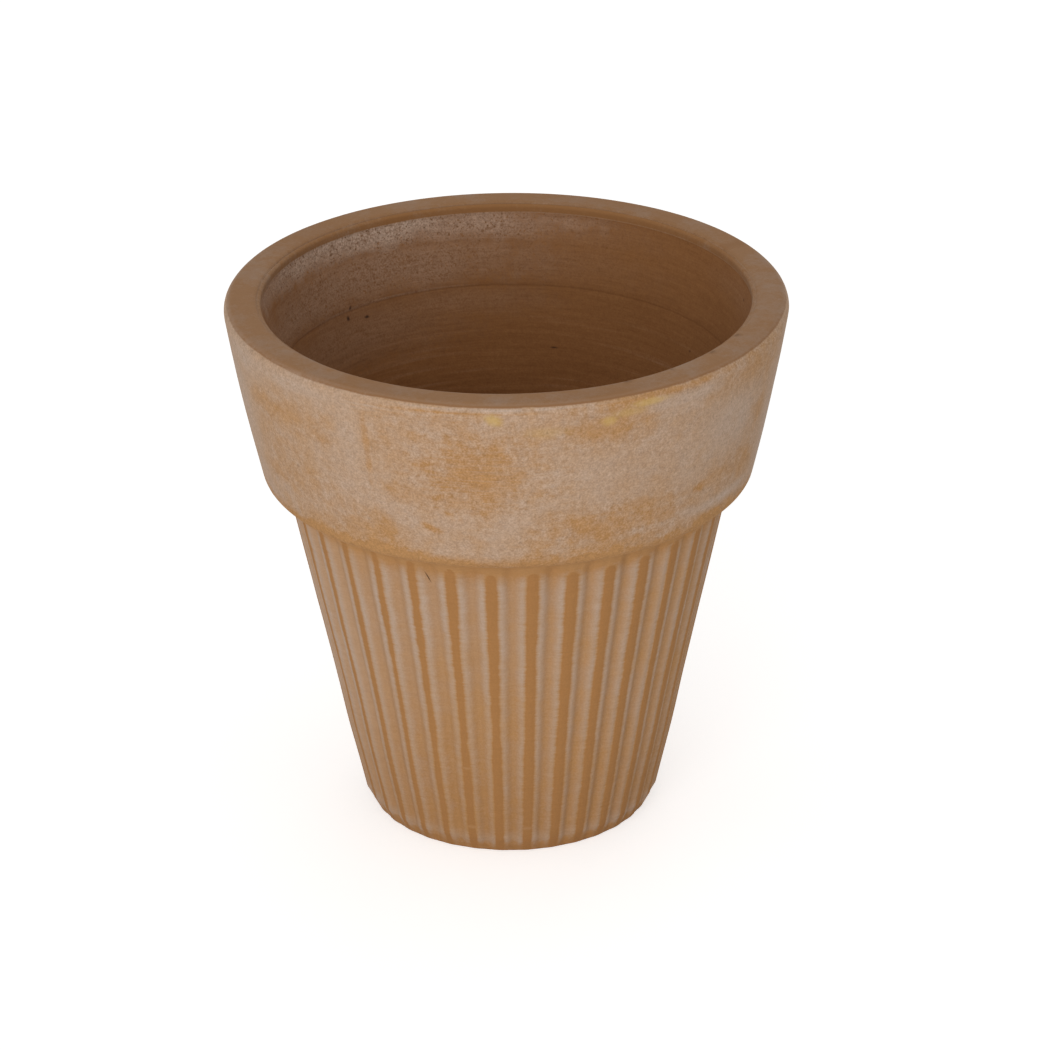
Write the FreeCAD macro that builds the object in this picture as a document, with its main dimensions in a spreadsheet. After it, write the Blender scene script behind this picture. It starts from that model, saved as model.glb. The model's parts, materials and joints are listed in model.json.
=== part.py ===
import FreeCAD, Part
import math
import os

import Sketcher
from FreeCAD import Vector

# A fluted clay flower pot with a thick overhanging rim band. Millimetres, +Z up.
# It stands on its foot at the origin, with its axis on Z and a flute facing -Y.
# Its three clay sections are separate solids that meet on flat, level seams.

# Driving sizes
SIZES = {
    "pot_height": 296,            # foot to lip
    "rim_diameter": 300,          # widest point, just under the lip
    "rim_height": 101,            # underside of the rim band to the lip
    "rim_overhang": 12,           # how far the rim band's lower edge stands out over the ridge crests
    "rim_lower_radius": 7,        # round of the rim band's lower edge
    "lip_width": 19.6,            # ring on top, from its inner to its outer edge
    "lip_outer_radius": 5.7,      # round of the lip's outer edge
    "lip_inner_radius": 5.4,      # round of the lip's inner edge
    "bead_height": 6,             # narrow bead inside the mouth, from the lip down
    "bead_step": 0.8,             # how far that bead stands out from the inside wall
    "neck_diameter": 241.4,       # across the ridge crests, where the wall meets the rim band
    "foot_diameter": 159.2,       # across the ridge crests, carried straight down to the ground
    "standing_diameter": 154.6,   # at the ground, where the wall draws in under the last of the flutes
    "foot_bevel_height": 9,       # height over which it draws in
    "foot_edge_radius": 1,        # round of the edge that the pot stands on
    "wall_thickness": 12,         # level, from the inside to the ridge crests
    "floor_thickness": 15,
    "drain_diameter": 24,
    "flute_count": 35,
    "ridge_width": 7.5,           # crest between two flutes, at the neck
    "flute_depth_neck": 2.3,      # from the ridge crests to the bottom of a flute
    "flute_depth_foot": 1.8,      # the same, at the ground
}

# Heights, radii and angles that follow from the driving sizes
UNDERSIDE = "(sizes.pot_height - sizes.rim_height)"
NECK_RADIUS = "(sizes.neck_diameter / 2)"
FOOT_RADIUS = "(sizes.foot_diameter / 2)"
STANDING_RADIUS = "(sizes.standing_diameter / 2)"
MOUTH_RADIUS = "(sizes.rim_diameter / 2 - sizes.lip_width)"
RIM_EDGE_ROUND = "min(sizes.rim_lower_radius; sizes.rim_overhang)"
FLUTE_HALF_ANGLE = "(180 / sizes.flute_count - sizes.ridge_width / sizes.neck_diameter * 180 / pi)"

# A sketch counts the points of a line or an arc up from one, and its own axes down from minus one
START, END, CENTRE = range(1, 4)
LEVEL_AXIS, UPRIGHT_AXIS = range(-1, -3, -1)
ORIGIN = (LEVEL_AXIS, START)

doc = FreeCAD.newDocument("flower_pot")


def fill_sheet():
    """Write each driving size to a cell of its own, and name the cell."""
    sheet = doc.addObject("Spreadsheet::Sheet", "sizes")
    for row, (alias, value) in enumerate(SIZES.items(), start=1):
        sheet.set("A%d" % row, alias)
        sheet.set("B%d" % row, str(value))
        sheet.setAlias("B%d" % row, alias)
    doc.recompute()


def size(expression):
    return float(doc.sizes.evalExpression(expression))


def new_body(name):
    body = doc.addObject("PartDesign::Body", name)
    body.Label = name
    return body


def new_sketch(body, name, plane_role, height=None):
    """A sketch on one of the body's origin planes, lifted to a height where one is given."""
    sketch = body.newObject("Sketcher::SketchObject", name)
    plane = next(item for item in body.Origin.OriginFeatures if item.Role == plane_role)
    sketch.AttachmentSupport = [(plane, "")]
    sketch.MapMode = "FlatFace"
    if height is not None:
        sketch.setExpression("AttachmentOffset.Base.z", height)
    return sketch


def line(sketch, start, end, guide=False):
    return sketch.addGeometry(Part.LineSegment(Vector(*start), Vector(*end)), guide)


def arc(sketch, centre, radius, first_degrees, last_degrees):
    circle = Part.Circle(Vector(*centre), Vector(0, 0, 1), radius)
    turn = Part.ArcOfCircle(circle, math.radians(first_degrees), math.radians(last_degrees))
    return sketch.addGeometry(turn)


def tie(sketch, kind, *items):
    return sketch.addConstraint(Sketcher.Constraint(kind, *items))


def drive(sketch, name, expression, kind, *items):
    """A named dimension that takes its value from the sheet."""
    index = tie(sketch, kind, *items, size(expression))
    sketch.renameConstraint(index, name)
    sketch.setExpression("Constraints." + name, expression)


def drive_point(sketch, name, point, across=None, up=None):
    """Dimension a point from the sketch's origin."""
    if across is not None:
        drive(sketch, name + "_across", across, "DistanceX", *ORIGIN, *point)
    if up is not None:
        drive(sketch, name + "_up", up, "DistanceY", *ORIGIN, *point)


def crest_guide(sketch):
    """The slope of the ridge crests, from the ground to the underside of the rim band."""
    guide = line(sketch, (size(FOOT_RADIUS), 0), (size(NECK_RADIUS), size(UNDERSIDE)), guide=True)
    tie(sketch, "PointOnObject", guide, START, LEVEL_AXIS)
    drive_point(sketch, "foot", (guide, START), across=FOOT_RADIUS)
    drive_point(sketch, "neck", (guide, END), across=NECK_RADIUS, up=UNDERSIDE)
    return guide


def along_wall(height, at_foot, at_neck):
    """A size that changes evenly from the ground to the underside of the rim band."""
    return size(at_foot) + (size(at_neck) - size(at_foot)) * height / size(UNDERSIDE)


def crest_radius(height):
    """Where the crest slope passes a height."""
    return along_wall(height, FOOT_RADIUS, NECK_RADIUS)


def turn_about_axis(body, sketch, name):
    revolution = body.newObject("PartDesign::Revolution", name)
    revolution.Profile = sketch
    revolution.ReferenceAxis = (sketch, ["V_Axis"])
    revolution.Angle = 360
    doc.recompute()
    return revolution


def flute_sketch(body, name, height, crests, depth):
    """A circle that cuts one flute: it passes through the ridge's edge and the flute's floor."""
    sketch = new_sketch(body, name, "XY_Plane", height)
    edge_across = "%s * sin(%s)" % (crests, FLUTE_HALF_ANGLE)
    edge_up = "-%s * cos(%s)" % (crests, FLUTE_HALF_ANGLE)
    floor_up = "%s - %s" % (depth, crests)
    sag = size(floor_up) - size(edge_up)
    radius = (size(edge_across) ** 2 + sag ** 2) / (2 * sag)
    circle = sketch.addGeometry(Part.Circle(Vector(0, size(floor_up) - radius), Vector(0, 0, 1), radius))
    ridge_edge = sketch.addGeometry(Part.Point(Vector(size(edge_across), size(edge_up))), True)
    flute_floor = sketch.addGeometry(Part.Point(Vector(0, size(floor_up))), True)
    tie(sketch, "PointOnObject", circle, CENTRE, UPRIGHT_AXIS)
    tie(sketch, "PointOnObject", flute_floor, START, UPRIGHT_AXIS)
    drive_point(sketch, "ridge_edge", (ridge_edge, START), across=edge_across, up=edge_up)
    drive_point(sketch, "flute_floor", (flute_floor, START), up=floor_up)
    tie(sketch, "PointOnObject", ridge_edge, START, circle)
    tie(sketch, "PointOnObject", flute_floor, START, circle)
    return sketch


def cut_flutes(body):
    """Cut the ring of flutes. They run from the ground to the rim band, so that both sections share them."""
    low = flute_sketch(body, body.Label + "_flute_foot", None, FOOT_RADIUS, "sizes.flute_depth_foot")
    high = flute_sketch(body, body.Label + "_flute_neck", UNDERSIDE, NECK_RADIUS, "sizes.flute_depth_neck")
    doc.recompute()
    flute = body.newObject("PartDesign::SubtractiveLoft", body.Label + "_flute")
    flute.Profile = low
    flute.Sections = [high]
    flute.Ruled = True
    doc.recompute()
    ring = body.newObject("PartDesign::PolarPattern", body.Label + "_flutes")
    ring.Originals = [flute]
    ring.Axis = (low, ["N_Axis"])
    ring.Angle = 360
    ring.setExpression("Occurrences", "sizes.flute_count")
    body.Tip = ring
    doc.recompute()


def check_flutes(body, height):
    """Stop if a flute is missing: halfway from its floor to the crests there must be no clay."""
    depth = along_wall(height, "sizes.flute_depth_foot", "sizes.flute_depth_neck")
    in_flute = Vector(0, depth / 2 - crest_radius(height), height)
    count = round(size("sizes.flute_count"))
    for number in range(count):
        turn = FreeCAD.Rotation(Vector(0, 0, 1), 360 * number / count)
        if body.Shape.isInside(turn.multVec(in_flute), 0, True):
            raise RuntimeError("%s: flute %d is missing" % (body.Label, number))


def build_base_floor():
    """The floor slab, with its drawn-in standing edge, the foot of the flutes and the drain hole."""
    body = new_body("base_floor")
    sketch = new_sketch(body, "base_profile", "XZ_Plane")
    floor_top = size("sizes.floor_thickness")
    bevel_top = size("sizes.foot_bevel_height")
    edge_round = size("sizes.foot_edge_radius")
    standing = size(STANDING_RADIUS)
    bevel_end = (crest_radius(bevel_top), bevel_top)
    side_end = (crest_radius(floor_top), floor_top)
    guide = crest_guide(sketch)
    bevel_guide = line(sketch, (standing, 0), bevel_end, guide=True)
    ground = line(sketch, (0, 0), (standing - edge_round, 0))
    edge = arc(sketch, (standing - edge_round, edge_round), edge_round, -90, 0)
    bevel = line(sketch, (standing, edge_round), bevel_end)
    side = line(sketch, bevel_end, side_end)
    top = line(sketch, side_end, (0, floor_top))
    middle = line(sketch, (0, floor_top), (0, 0))
    tie(sketch, "PointOnObject", bevel_guide, START, LEVEL_AXIS)
    tie(sketch, "PointOnObject", bevel_guide, END, guide)
    tie(sketch, "Coincident", ground, START, *ORIGIN)
    tie(sketch, "Horizontal", ground)
    tie(sketch, "Tangent", ground, END, edge, START)
    tie(sketch, "Tangent", edge, END, bevel, START)
    tie(sketch, "PointOnObject", bevel, START, bevel_guide)
    tie(sketch, "Coincident", bevel, END, bevel_guide, END)
    tie(sketch, "Coincident", bevel, END, side, START)
    tie(sketch, "PointOnObject", side, END, guide)
    tie(sketch, "Coincident", side, END, top, START)
    tie(sketch, "Horizontal", top)
    tie(sketch, "Coincident", top, END, middle, START)
    tie(sketch, "Coincident", middle, END, *ORIGIN)
    tie(sketch, "Vertical", middle)
    drive(sketch, "edge_round", "sizes.foot_edge_radius", "Radius", edge)
    drive_point(sketch, "standing", (bevel_guide, START), across=STANDING_RADIUS)
    drive_point(sketch, "bevel_top", (bevel_guide, END), up="sizes.foot_bevel_height")
    drive_point(sketch, "floor_top", (side, END), up="sizes.floor_thickness")
    turn_about_axis(body, sketch, "base_slab")
    cut_flutes(body)
    check_flutes(body, (bevel_top + floor_top) / 2)

    solid_floor = body.Shape.Volume
    hole_sketch = new_sketch(body, "drain_outline", "XY_Plane")
    hole = hole_sketch.addGeometry(Part.Circle(Vector(), Vector(0, 0, 1), size("sizes.drain_diameter / 2")))
    tie(hole_sketch, "Coincident", hole, CENTRE, *ORIGIN)
    drive(hole_sketch, "drain", "sizes.drain_diameter", "Diameter", hole)
    drain = body.newObject("PartDesign::Pocket", "drain_hole")
    drain.Profile = hole_sketch
    drain.Type = "ThroughAll"
    drain.Midplane = True
    body.Tip = drain
    doc.recompute()
    if body.Shape.Volume >= solid_floor:
        raise RuntimeError("the drain hole cuts nothing")
    return body


def build_fluted_wall():
    """The tapered wall, from the floor slab to the underside of the rim band, with its flutes."""
    body = new_body("fluted_wall")
    sketch = new_sketch(body, "wall_profile", "XZ_Plane")
    thickness = size("sizes.wall_thickness")
    floor_top = size("sizes.floor_thickness")
    low_crest = (crest_radius(floor_top), floor_top)
    high_crest = (size(NECK_RADIUS), size(UNDERSIDE))
    low_inside = (low_crest[0] - thickness, low_crest[1])
    high_inside = (high_crest[0] - thickness, high_crest[1])
    guide = crest_guide(sketch)
    outside = line(sketch, low_crest, high_crest)
    top = line(sketch, high_crest, high_inside)
    inside = line(sketch, high_inside, low_inside)
    bottom = line(sketch, low_inside, low_crest)
    tie(sketch, "PointOnObject", outside, START, guide)
    tie(sketch, "Coincident", outside, END, guide, END)
    tie(sketch, "Coincident", outside, END, top, START)
    tie(sketch, "Coincident", top, END, inside, START)
    tie(sketch, "Coincident", inside, END, bottom, START)
    tie(sketch, "Coincident", bottom, END, outside, START)
    tie(sketch, "Horizontal", top)
    tie(sketch, "Horizontal", bottom)
    tie(sketch, "Parallel", inside, outside)
    drive_point(sketch, "wall_foot", (outside, START), up="sizes.floor_thickness")
    drive(sketch, "thickness", "sizes.wall_thickness", "DistanceX", top, END, top, START)
    turn_about_axis(body, sketch, "wall_cone")
    cut_flutes(body)
    check_flutes(body, (floor_top + size(UNDERSIDE)) / 2)
    return body


def build_rim_band():
    """The thick rim: level underside, sloping outer face, level lip, bead and inside wall."""
    body = new_body("rim_band")
    sketch = new_sketch(body, "rim_profile", "XZ_Plane")
    underside = size(UNDERSIDE)
    lip_top = size("sizes.pot_height")
    inside_low = size(NECK_RADIUS + " - sizes.wall_thickness")
    lower_round = size(RIM_EDGE_ROUND)
    lower_centre = size(NECK_RADIUS + " + sizes.rim_overhang - " + RIM_EDGE_ROUND)
    lip_round = size("sizes.lip_outer_radius")
    lip_centre = size("sizes.rim_diameter / 2 - sizes.lip_outer_radius")
    inner_round = size("sizes.lip_inner_radius")
    mouth = size(MOUTH_RADIUS)
    bead_foot = lip_top - size("sizes.bead_height")
    inside_high = mouth + size("sizes.bead_step")

    base = line(sketch, (inside_low, underside), (lower_centre, underside))
    lower_edge = arc(sketch, (lower_centre, underside + lower_round), lower_round, -90, 0)
    face = line(sketch, (lower_centre + lower_round, underside + lower_round),
                (lip_centre + lip_round, lip_top - lip_round))
    outer_edge = arc(sketch, (lip_centre, lip_top - lip_round), lip_round, 0, 90)
    lip = line(sketch, (lip_centre, lip_top), (mouth + inner_round, lip_top))
    inner_edge = arc(sketch, (mouth + inner_round, lip_top - inner_round), inner_round, 90, 180)
    bead = line(sketch, (mouth, lip_top - inner_round), (mouth, bead_foot))
    step = line(sketch, (mouth, bead_foot), (inside_high, bead_foot))
    inside = line(sketch, (inside_high, bead_foot), (inside_low, underside))

    tie(sketch, "Horizontal", base)
    tie(sketch, "Tangent", base, END, lower_edge, START)
    tie(sketch, "Tangent", lower_edge, END, face, START)
    tie(sketch, "Tangent", face, END, outer_edge, START)
    tie(sketch, "Tangent", outer_edge, END, lip, START)
    tie(sketch, "Horizontal", lip)
    tie(sketch, "Tangent", lip, END, inner_edge, START)
    tie(sketch, "Tangent", inner_edge, END, bead, START)
    tie(sketch, "Vertical", bead)
    tie(sketch, "Coincident", bead, END, step, START)
    tie(sketch, "Horizontal", step)
    tie(sketch, "Coincident", step, END, inside, START)
    tie(sketch, "Coincident", inside, END, base, START)

    drive(sketch, "lower_round", RIM_EDGE_ROUND, "Radius", lower_edge)
    drive(sketch, "outer_round", "sizes.lip_outer_radius", "Radius", outer_edge)
    drive(sketch, "inner_round", "sizes.lip_inner_radius", "Radius", inner_edge)
    drive_point(sketch, "seat", (base, START), across=NECK_RADIUS + " - sizes.wall_thickness", up=UNDERSIDE)
    drive_point(sketch, "overhang", (lower_edge, CENTRE),
                across=NECK_RADIUS + " + sizes.rim_overhang - " + RIM_EDGE_ROUND)
    drive_point(sketch, "rim", (outer_edge, CENTRE),
                across="sizes.rim_diameter / 2 - sizes.lip_outer_radius")
    drive_point(sketch, "lip", (lip, START), up="sizes.pot_height")
    drive_point(sketch, "mouth", (bead, START), across=MOUTH_RADIUS)
    drive_point(sketch, "bead_foot", (bead, END), up="sizes.pot_height - sizes.bead_height")
    drive_point(sketch, "inside", (step, END), across=MOUTH_RADIUS + " + sizes.bead_step")
    turn_about_axis(body, sketch, "rim_ring")
    return body


def check_document(bodies):
    """Stop if a sketch is loose, a feature failed or a section isn't one sound solid."""
    for item in doc.Objects:
        if "Invalid" in item.State or "Error" in item.State:
            raise RuntimeError("%s failed: %s" % (item.Name, item.State))
        if item.isDerivedFrom("Sketcher::SketchObject") and not item.FullyConstrained:
            raise RuntimeError("%s is not fully constrained" % item.Name)
    for body in bodies:
        shape = body.Shape
        if shape.isNull() or not shape.isValid() or len(shape.Solids) != 1:
            raise RuntimeError("%s is not one sound solid" % body.Label)


def write_parts(bodies):
    os.makedirs("parts", exist_ok=True)
    for body in bodies:
        body.Shape.exportStep(os.path.join("parts", body.Label + ".step"))
        box = body.Shape.optimalBoundingBox()
        print("%s: volume %.0f, z %.2f to %.2f, %.2f across" %
              (body.Label, body.Shape.Volume, box.ZMin, box.ZMax, box.XLength))


fill_sheet()
sections = [build_base_floor(), build_fluted_wall(), build_rim_band()]
doc.recompute()
check_document(sections)
write_parts(sections)
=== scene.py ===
import json
import math

import bmesh
import bpy
from mathutils import Matrix, Vector


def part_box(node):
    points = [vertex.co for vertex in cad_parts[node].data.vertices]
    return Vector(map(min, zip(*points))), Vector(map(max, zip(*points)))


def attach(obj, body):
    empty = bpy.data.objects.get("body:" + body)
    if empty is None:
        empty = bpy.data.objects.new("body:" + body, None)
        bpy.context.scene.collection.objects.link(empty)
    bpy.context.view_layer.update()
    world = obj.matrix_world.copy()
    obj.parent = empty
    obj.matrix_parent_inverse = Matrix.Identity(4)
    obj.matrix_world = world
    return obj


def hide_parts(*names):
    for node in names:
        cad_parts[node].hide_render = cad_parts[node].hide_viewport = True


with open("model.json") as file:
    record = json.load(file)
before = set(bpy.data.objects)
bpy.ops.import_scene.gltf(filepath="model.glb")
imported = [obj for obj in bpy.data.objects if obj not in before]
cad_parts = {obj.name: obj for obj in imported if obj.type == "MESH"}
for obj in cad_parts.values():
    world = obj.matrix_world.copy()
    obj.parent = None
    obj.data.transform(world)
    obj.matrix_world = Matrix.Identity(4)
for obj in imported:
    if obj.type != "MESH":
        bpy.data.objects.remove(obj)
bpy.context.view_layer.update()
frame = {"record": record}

bl_info = {
    "name": "Washed clay flower pot",
    "version": (1, 0, 0),
    "blender": (4, 5, 0),
    "location": "View3D > Sidebar > Flower pot",
    "description": "A fluted clay flower pot with a thick washed rim, turned round the CAD frame",
    "category": "Object",
}

BODY = "root"
MM = 0.001
FULL_TURN = 2 * math.pi
FLUTES = 35
BASE_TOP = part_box("base_floor")[1].z
RIM_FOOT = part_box("rim_band")[0].z
RIM_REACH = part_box("rim_band")[1].x
LIP_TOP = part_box("rim_band")[1].z
DRAIN = next(mount for mount in frame["record"]["mounts"] if mount["name"] == "drain_hole")
WHITE = (1, 1, 1, 1)


# Properties that a user would change


def quantity(name, value, description, **limits):
    return bpy.props.FloatProperty(name=name, description=description, default=value, **limits)


def length(name, millimetres, description):
    return quantity(name, millimetres * MM, description, unit="LENGTH", precision=5)


def angle(name, degrees, description):
    return quantity(name, math.radians(degrees), description, subtype="ANGLE", unit="ROTATION")


def share(name, value, description):
    return quantity(name, value, description, min=0.0, max=1.0, subtype="FACTOR")


def strength(name, value, description):
    return quantity(name, value, description, min=0.0)


def count(name, value, description):
    return bpy.props.IntProperty(name=name, description=description, default=value, min=1)


def linear(screen):
    """Scene-linear values of a screen colour."""
    shares = (value / 255 for value in screen)
    return tuple(s / 12.92 if s <= 0.04045 else ((s + 0.055) / 1.055) ** 2.4 for s in shares)


def colour(name, screen, description):
    """A colour property whose default is written as it shows on a screen, from 0 to 255."""
    return bpy.props.FloatVectorProperty(
        name=name, description=description, default=(*linear(screen), 1.0), size=4, min=0.0, max=1.0,
        subtype="COLOR")


class PotSizes(bpy.types.PropertyGroup):
    """Sizes of the turned sections. Heights and the rim's reach come from the frame."""

    pot_height: length("Pot height", LIP_TOP / MM, "From the ground to the lip")
    rim_foot: length("Rim foot", RIM_FOOT / MM, "Height of the rim band's underside")
    floor_top: length("Floor top", BASE_TOP / MM, "Height of the floor inside")
    rim_radius: length("Rim radius", RIM_REACH / MM, "Widest point, just under the lip")
    rim_overhang: length("Rim overhang", 12.0, "How far the rim band stands out over the ridges")
    rim_lower_radius: length("Rim lower round", 7.0, "Round of the rim band's lower edge")
    rim_swell: length("Rim swell", 0.8, "How far the rim's face swells in its middle")
    lip_width: length("Lip width", 19.6, "Ring on top of the rim")
    lip_outer_radius: length("Lip outer round", 5.7, "Round of the lip's outer edge")
    lip_inner_radius: length("Lip inner round", 5.0, "Round from the lip into the mouth")
    bead_height: length("Bead height", 6.0, "Bead inside the mouth, from the lip down")
    bead_round: length("Bead round", 1.8, "Round of the bead's upper edge, beside a shallow groove")
    bead_step: length("Bead step", 0.15, "How far the bead stands out from the inside")
    ring_height: length("Ring height", 250.6, "Height of the ledge inside, where the wash ends")
    ring_step: length("Ring step", 0.09, "How far the ledge stands out")
    neck_radius: length("Neck radius", 120.7, "To the ridge crests, at the rim band's underside")
    foot_radius: length("Foot radius", 79.6, "To the ridge crests, carried down to the ground")
    standing_radius: length("Standing radius", 77.3, "At the ground")
    bevel_height: length("Bevel height", 9.0, "Height over which the foot draws in")
    edge_radius: length("Edge round", 1.0, "Round of the edge that the pot stands on")
    wall_swell: length("Wall swell", 0.55, "How far the wall swells above the foot")
    wall_thickness: length("Wall thickness", 12.0, "From the inside to the ridge crests")
    cove_height: length("Cove height", 9.0, "Hollow round between the wall and the rim band")
    cove_width: length("Cove width", 5.0, "How far that round flares")
    floor_round: length("Floor round", 7.0, "Round between the floor and the inside wall")
    drain_radius: length("Drain radius", DRAIN["dims"]["r_mm"], "Hole in the floor")
    drain_round: length("Drain round", 1.2, "Worn edge of the drain hole")
    flute_count: count("Flutes", FLUTES, "Flutes round the wall")
    flute_steps: count("Steps per flute", 24, "Mesh columns in one flute and its ridge")
    first_crest: angle("First crest", -90 + 180 / FLUTES, "Angle of one ridge; a flute faces the front")
    ridge_share: share("Ridge share", 0.44, "Ridge crest's part of one flute and ridge")
    wiped_share: share("Wiped share", 0.3, "Part of one flute and ridge that is wiped bare")
    ridge_spread: angle("Ridge spread", 1.1, "How far the ridges at the sides stand back from the front")
    ridge_scatter: angle("Ridge scatter", 0.12, "How far a ridge may stand off its even place")
    ridge_wander: angle("Ridge wander", 0.25, "How far a ridge wanders on its way up")
    flute_depth_neck: length("Flute depth, neck", 2.7, "From the crests to the bottom of a flute, at the top")
    flute_depth_foot: length("Flute depth, foot", 2.1, "The same, at the ground")
    unevenness: length("Unevenness", 0.3, "How far the clay strays from a true turned shape")
    throwing_rings: length("Throwing rings", 0.22, "Height of the rings inside")


class PotFinish(bpy.types.PropertyGroup):
    """Colours of the clay and of the wash on it."""

    clay: colour("Clay", (186, 140, 91), "Bare fired clay")
    clay_dark: colour("Dark clay", (174, 126, 77), "Darker blotches of the clay")
    crest: colour("Crest", (174, 123, 72), "Wiped clay on the ridge crests")
    lip: colour("Lip", (156, 116, 80), "Smooth clay on top of the rim")
    lip_washed: colour("Washed lip", (160, 131, 108), "The same where a little wash stays")
    lip_worn: colour("Worn lip", (147, 105, 67), "The same, rubbed bare along the outer edge")
    bead: colour("Bead", (152, 107, 65), "Bare bead inside the mouth")
    inside: colour("Inside clay", (147, 101, 60), "Smooth clay inside")
    inside_dark: colour("Dark inside clay", (134, 88, 48), "The same between the throwing rings")
    # Also used for the painted sheen on the rim's far sides and on the lip's outer round
    wash: colour("Wash", (193, 170, 152), "Thin wash dried on the clay")
    stain: colour("Stain", (212, 176, 100), "Pale yellow stains under the lip")
    # Also used for the painted shade in the groove behind the bead
    dirt_and_shade: colour("Dirt", (70, 46, 30), "Pores and specks")
    roughness: share("Roughness", 0.88, "Dry clay")
    gloss: share("Gloss", 0.25, "Dry clay hardly shines")


class PotStage(bpy.types.PropertyGroup):
    """Camera, lights and floor."""

    azimuth: angle("Camera azimuth", -90.84, "Direction of the camera from the pot")
    elevation: angle("Camera elevation", 25.325, "How far the camera looks down")
    roll: angle("Camera roll", -0.519, "Turn of the camera about its own axis")
    distance: length("Camera distance", 2500.3, "From the camera to its target")
    lens: quantity("Lens", 157.74, "Focal length in millimetres, on a sensor 36 mm wide", min=1.0)
    target_across: length("Target across", 8.845, "Target of the camera, right of the pot's axis")
    target_height: length("Target height", 159.172, "Target of the camera, above the ground")
    surround: strength("Surround", 0.52, "Even light from all round")
    key: strength("Key light", 0.42, "Large soft light in front, as a share of white")
    fill: strength("Fill light", 0.15, "Soft light behind, as a share of white")
    floor_glow: strength("Floor glow", 0.56, "Makes the floor white to the eye, past its soft shadow")


class FlowerPot(bpy.types.PropertyGroup):
    """Everything that the pot is made from."""

    sizes: bpy.props.PointerProperty(type=PotSizes)
    finish: bpy.props.PointerProperty(type=PotFinish)
    stage: bpy.props.PointerProperty(type=PotStage)


# Node trees written as sums


class Field:
    """A number that nodes work out for each point, for use in ordinary sums."""

    def __init__(self, graph, socket):
        self.graph = graph
        self.socket = socket

    def __add__(self, other):
        return self.graph.math("ADD", self, other)

    def __sub__(self, other):
        return self.graph.math("SUBTRACT", self, other)

    def __rsub__(self, other):
        return self.graph.math("SUBTRACT", other, self)

    def __mul__(self, other):
        return self.graph.math("MULTIPLY", self, other)

    def __truediv__(self, other):
        return self.graph.math("DIVIDE", self, other)

    def __rtruediv__(self, other):
        return self.graph.math("DIVIDE", other, self)

    __radd__ = __add__


class Graph:
    """Adds nodes to a tree and links them."""

    def __init__(self, tree):
        self.tree = tree

    def feed(self, socket, value):
        """Link an input to what works it out, or set it."""
        if isinstance(value, Field):
            value = value.socket
        if isinstance(value, bpy.types.NodeSocket):
            self.tree.links.new(value, socket)
        else:
            socket.default_value = value

    def add(self, kind, inputs=None, **settings):
        node = self.tree.nodes.new(kind)
        for name, value in settings.items():
            setattr(node, name, value)
        for key, value in (inputs or {}).items():
            self.feed(node.inputs[key], value)
        return node

    def field(self, node, output=0):
        return Field(self, node.outputs[output])

    def math(self, operation, *values):
        node = self.add("ShaderNodeMath", dict(enumerate(values)), operation=operation)
        return self.field(node)

    def ramp(self, value, low, high):
        """Rises smoothly from 0 at low to 1 at high."""
        inputs = {"Value": value, "From Min": low, "From Max": high}
        return self.field(self.add("ShaderNodeMapRange", inputs, interpolation_type="SMOOTHSTEP"))

    def band(self, value, rise, fall):
        """Rises from 0 to 1 over one stretch, and falls back over the next."""
        return self.ramp(value, *rise) * (1 - self.ramp(value, *fall))

    def clamp(self, value):
        return self.field(self.add("ShaderNodeClamp", {"Value": value}))

    def vector(self, x, y, z):
        return self.add("ShaderNodeCombineXYZ", {"X": x, "Y": y, "Z": z}).outputs[0]

    def noise(self, place, per_metre, detail=2.0, roughness=0.5):
        """Soft noise about zero, from about -0.5 to 0.5."""
        inputs = {"Vector": place, "Scale": per_metre, "Detail": detail, "Roughness": roughness}
        return self.field(self.add("ShaderNodeTexNoise", inputs)) - 0.5

    def shade(self, tint, level):
        """Make a colour lighter or darker."""
        node = self.add("ShaderNodeVectorMath", {"Vector": tint, "Scale": level}, operation="SCALE")
        return node.outputs[0]

    def mix(self, factor, first, second):
        """Blend two colours."""
        node = self.add("ShaderNodeMix", {0: factor, 6: first, 7: second}, data_type="RGBA")
        return node.outputs[2]

    def group(self, tree, inputs=None):
        """Place a node group, and give its outputs by name."""
        node = self.add("ShaderNodeGroup", inputs, node_tree=tree)
        return {socket.name: Field(self, socket) for socket in node.outputs}


SOCKETS = {
    "geometry": "NodeSocketGeometry",
    "number": "NodeSocketFloat",
    "count": "NodeSocketInt",
    "vector": "NodeSocketVector",
    "material": "NodeSocketMaterial",
}


def new_tree(name, kind, inputs, outputs):
    """A node group with named sockets: its graph, what comes in, and its output node."""
    tree = bpy.data.node_groups.new(name, kind)
    for in_out, sockets in (("INPUT", inputs), ("OUTPUT", outputs)):
        for socket, socket_kind in sockets.items():
            tree.interface.new_socket(name=socket, in_out=in_out, socket_type=SOCKETS[socket_kind])
    graph = Graph(tree)
    source = graph.add("NodeGroupInput")
    incoming = {socket.name: Field(graph, socket) for socket in source.outputs if socket.name}
    return graph, incoming, graph.add("NodeGroupOutput")


# Outlines of the turned sections

TRAITS = ("inner", "lip", "edge", "mouth", "groove", "bead", "fluted")
SWELL_MIDDLE = 50 * MM
SWELL_SPREAD = 25 * MM
FOOT_FLUTE_SHARE = 0.4


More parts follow.
